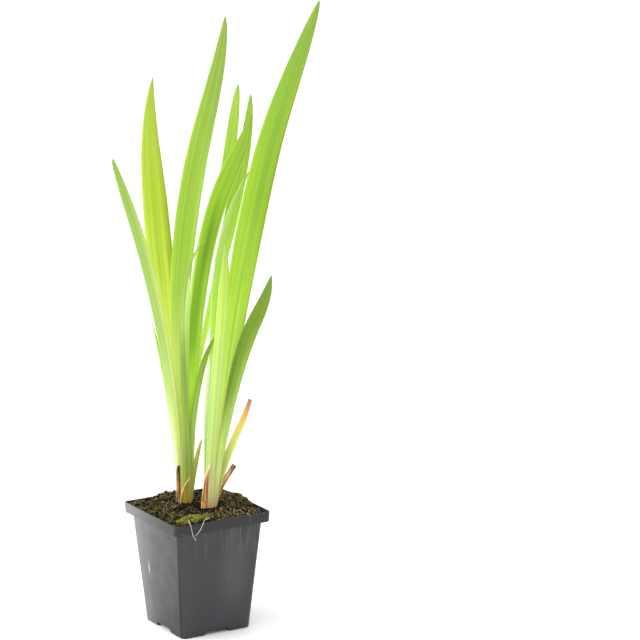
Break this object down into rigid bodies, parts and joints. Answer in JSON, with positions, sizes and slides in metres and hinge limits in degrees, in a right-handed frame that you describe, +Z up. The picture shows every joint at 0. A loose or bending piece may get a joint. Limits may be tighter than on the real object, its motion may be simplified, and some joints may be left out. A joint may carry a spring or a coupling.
{
  "type": "potted northern blue flag iris",
  "caption": "Northern blue flag iris out of flower: two fans of sword-shaped leaves in a small square nursery pot of mossy peat soil.",
  "frame": {"origin": "middle of the flat part of the pot's underside, on the surface that the pot stands on", "axes": "+Z up along the pot's centre line and the plant's height; +X and +Y square to the pot's sides"},
  "size_m": [0.1414, 0.1146, 0.5256],
  "materials": {
    "pot": "satin",
    "soil": "matte",
    "moss": "matte",
    "leaf": "satin",
    "dying_leaf": "matte",
    "dry_leaf": "matte",
    "root": "matte"
  },
  "bodies": {
    "root": {"pot": "pot", "soil": "soil", "moss_front": "moss", "moss_left": "moss", "moss_back": "moss", "leaf_left_outer": "leaf", "leaf_left_sliver": "leaf", "leaf_left_broad": "leaf", "leaf_left_tall": "leaf", "leaf_left_inner": "leaf", "leaf_left_spear": "leaf", "leaf_left_back": "leaf", "leaf_left_curled": "leaf", "leaf_left_thin": "leaf", "leaf_left_arching": "leaf", "leaf_left_young": "leaf", "leaf_right_tall": "leaf", "leaf_right_short": "leaf", "leaf_right_pale": "leaf", "leaf_right_narrow": "leaf", "leaf_right_slim": "leaf", "leaf_right_dying": "dying_leaf", "sheath_left_torn": "dry_leaf", "stub_left_brown": "dry_leaf", "stub_right_cut": "dry_leaf", "sheath_right_brown": "dry_leaf", "stray_root_long": "root", "stray_root_short": "root"}
  },
  "joints": []
}
